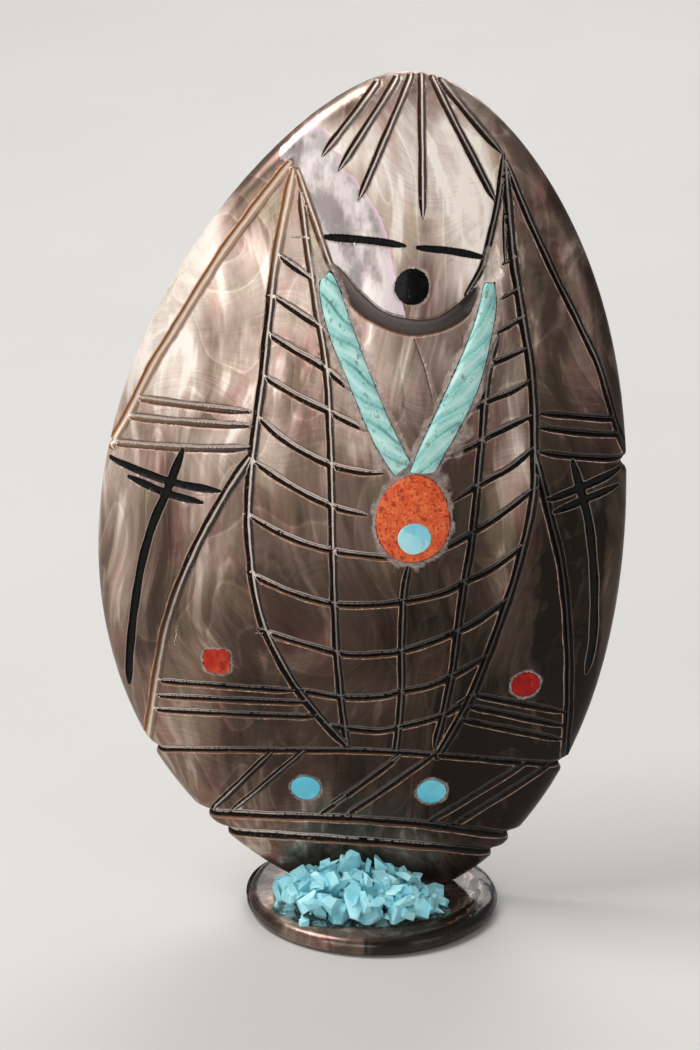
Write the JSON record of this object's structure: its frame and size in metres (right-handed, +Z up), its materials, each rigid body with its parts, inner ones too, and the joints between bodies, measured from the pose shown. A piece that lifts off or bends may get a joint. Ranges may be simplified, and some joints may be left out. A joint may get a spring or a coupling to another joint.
{
  "type": "corn maiden figure",
  "caption": "Egg-shaped slab of dark mother-of-pearl carved as a corn maiden, inlaid with stone and shell, standing on a round shell base.",
  "frame": {"origin": "centre of the round base's flat underside", "axes": "+Z up; the carved front of the slab faces -Y, and +X is to the viewer's right"},
  "size_m": [0.062, 0.03, 0.1037],
  "materials": {
    "black_lip_shell": "polished, iridescent",
    "base_shell": "polished, iridescent",
    "pale_turquoise": "satin",
    "spiny_oyster": "polished",
    "turquoise_dot": "satin",
    "jet": "polished",
    "coral": "polished",
    "turquoise_chip": "broken"
  },
  "bodies": {
    "root": {"shell_slab": "black_lip_shell", "shell_base": "base_shell", "necklace_left": "pale_turquoise", "necklace_right": "pale_turquoise", "pendant": "spiny_oyster", "pendant_dot": "turquoise_dot", "mouth": "jet", "coral_dot_left": "coral", "coral_dot_right": "coral", "skirt_dot_left": "turquoise_dot", "skirt_dot_right": "turquoise_dot", "chip_front_1": "turquoise_chip", "chip_front_2": "turquoise_chip", "chip_front_3": "turquoise_chip", "chip_front_4": "turquoise_chip", "chip_front_5": "turquoise_chip", "chip_front_6": "turquoise_chip", "chip_front_7": "turquoise_chip", "chip_front_8": "turquoise_chip", "chip_front_9": "turquoise_chip", "chip_front_10": "turquoise_chip", "chip_front_11": "turquoise_chip", "chip_front_12": "turquoise_chip", "chip_front_13": "turquoise_chip", "chip_front_14": "turquoise_chip", "chip_front_15": "turquoise_chip", "chip_front_16": "turquoise_chip", "chip_front_17": "turquoise_chip", "chip_front_18": "turquoise_chip", "chip_front_19": "turquoise_chip", "chip_front_20": "turquoise_chip", "chip_front_21": "turquoise_chip", "chip_front_22": "turquoise_chip", "chip_front_23": "turquoise_chip", "chip_front_24": "turquoise_chip", "chip_front_25": "turquoise_chip", "chip_front_26": "turquoise_chip", "chip_front_27": "turquoise_chip", "chip_back_1": "turquoise_chip", "chip_back_2": "turquoise_chip", "chip_back_3": "turquoise_chip", "chip_back_4": "turquoise_chip", "chip_back_5": "turquoise_chip"}
  },
  "joints": []
}
